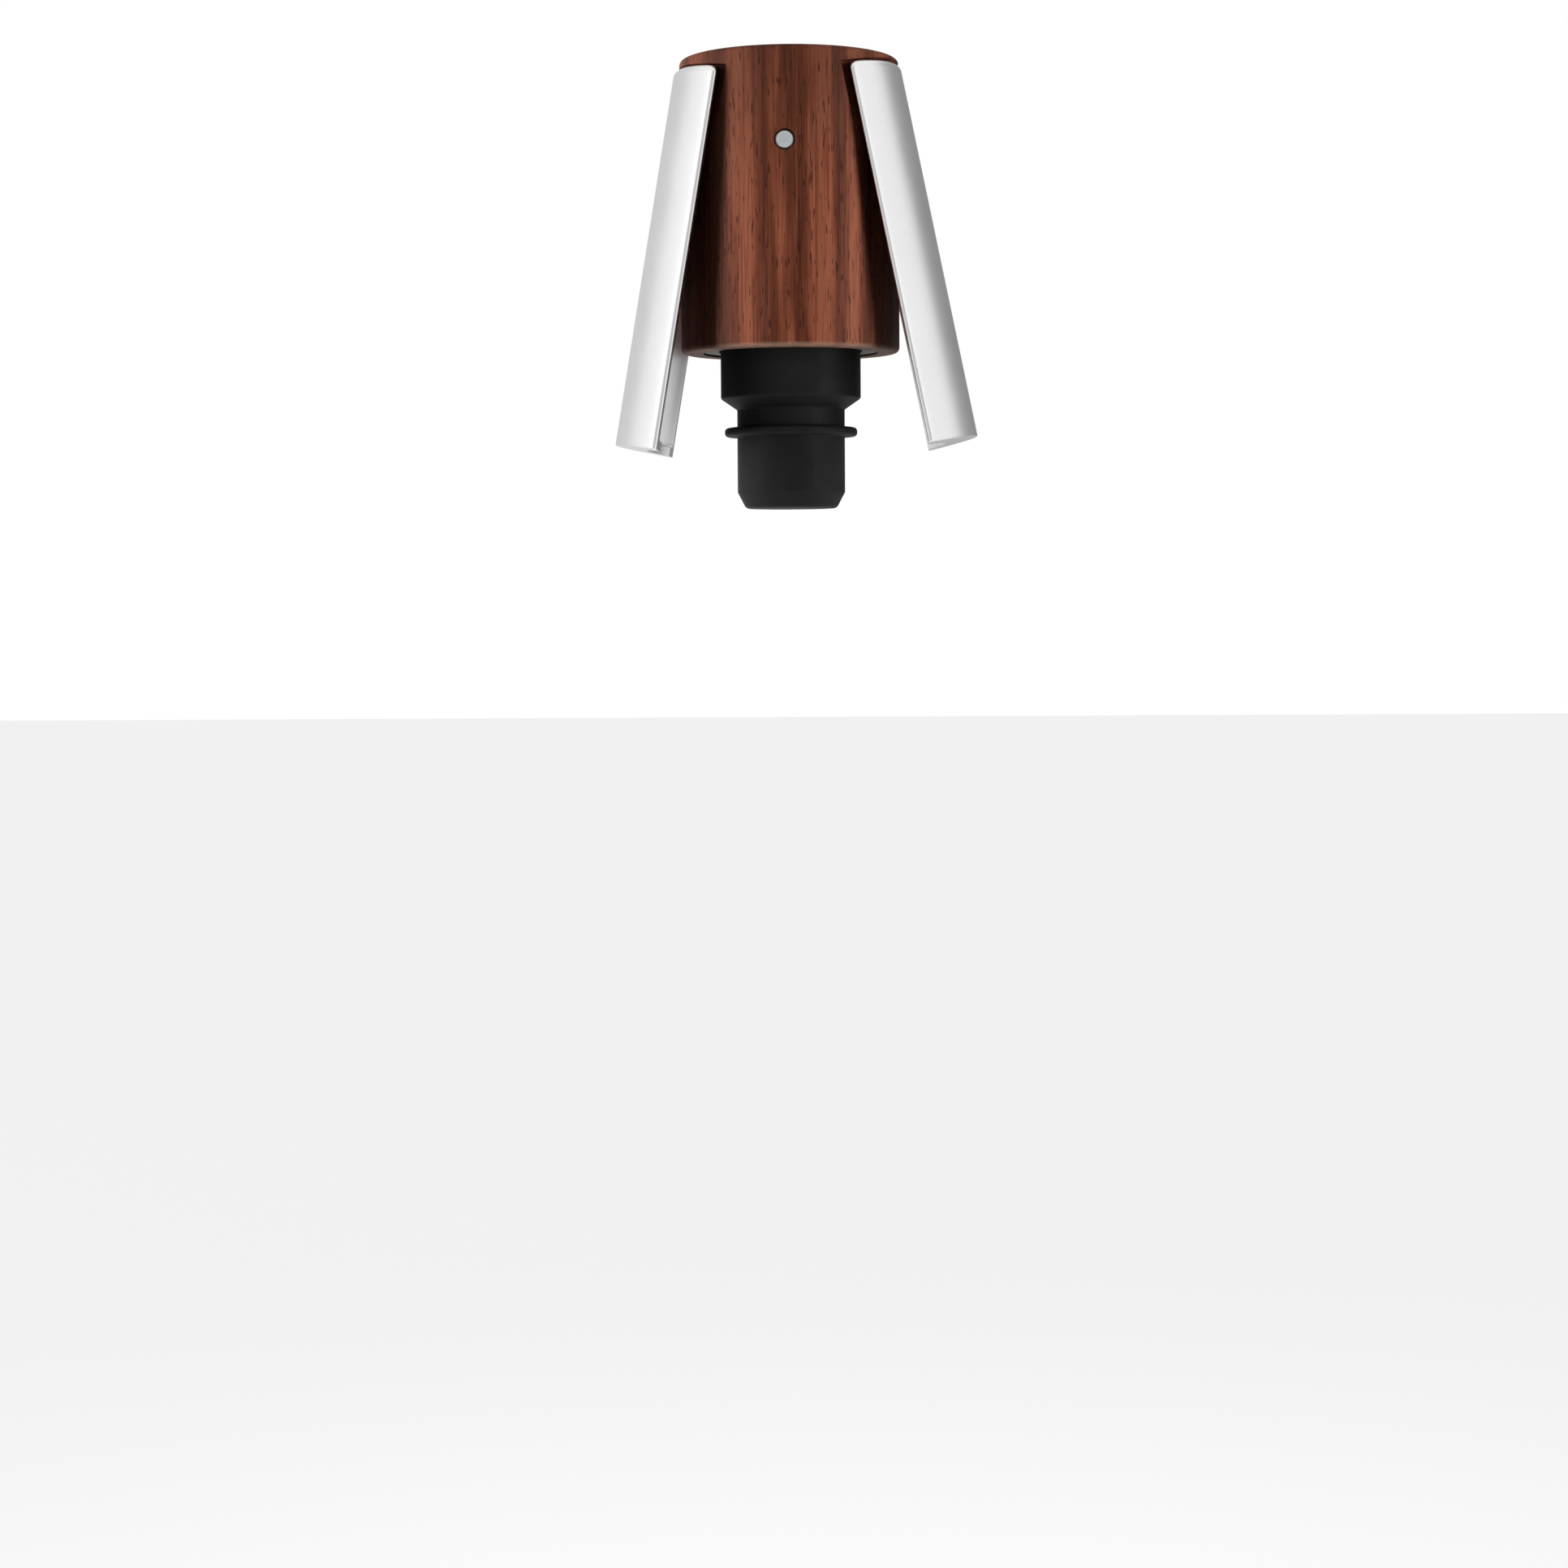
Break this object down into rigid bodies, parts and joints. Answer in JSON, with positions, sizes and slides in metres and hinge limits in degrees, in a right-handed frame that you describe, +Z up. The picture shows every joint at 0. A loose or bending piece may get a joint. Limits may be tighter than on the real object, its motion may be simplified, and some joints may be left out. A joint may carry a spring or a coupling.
{
  "type": "champagne stopper",
  "caption": "Turned wooden champagne stopper: a sprung rubber seal below, and two hinged metal wings that close under the bottle's collar.",
  "frame": {"origin": "on the axis of the stopper, at the underside of the rubber flange, where the bottle's mouth meets it", "axes": "+Z up along the axis, X across the two wings, -Y towards the viewer in the picture, with the pivot pin along Y"},
  "size_m": [0.0583, 0.035, 0.0711],
  "materials": {
    "head_wood": "oiled",
    "pin_steel": "polished",
    "wing_metal": "satin",
    "spring_steel": "drawn wire",
    "sleeve_metal": "deep drawn",
    "ring_plastic": "moulded",
    "core_plastic": "moulded",
    "seal_rubber": "moulded"
  },
  "bodies": {
    "seal": {"rubber_seal": "seal_rubber", "seal_core": "core_plastic", "return_spring": "spring_steel"},
    "head": {"wood_body": "head_wood", "pivot_pin": "pin_steel", "guide_sleeve": "sleeve_metal", "retaining_ring": "ring_plastic", "torsion_spring": "spring_steel"},
    "left_wing": {"left_wing": "wing_metal"},
    "right_wing": {"right_wing": "wing_metal"}
  },
  "joints": [
    {"name": "head_press", "type": "slide", "parent": "seal", "child": "head", "axis": [0, 0, -1], "range_m": [0, 0.0128], "stiffness_N_per_m": 1200, "springref_m": -0.012, "deforming": ["return_spring"]},
    {"name": "left_wing_hinge", "type": "hinge", "parent": "head", "child": "left_wing", "pos_m": [0, 0, 0.045], "axis": [0, -1, 0], "range_deg": [0, 9.6], "stiffness_Nm_per_rad": 0.08, "springref_deg": -22.92},
    {"name": "right_wing_hinge", "type": "hinge", "parent": "head", "child": "right_wing", "pos_m": [0, 0, 0.045], "axis": [0, 1, 0], "range_deg": [0, 11.7], "stiffness_Nm_per_rad": 0.08, "springref_deg": -22.92}
  ]
}
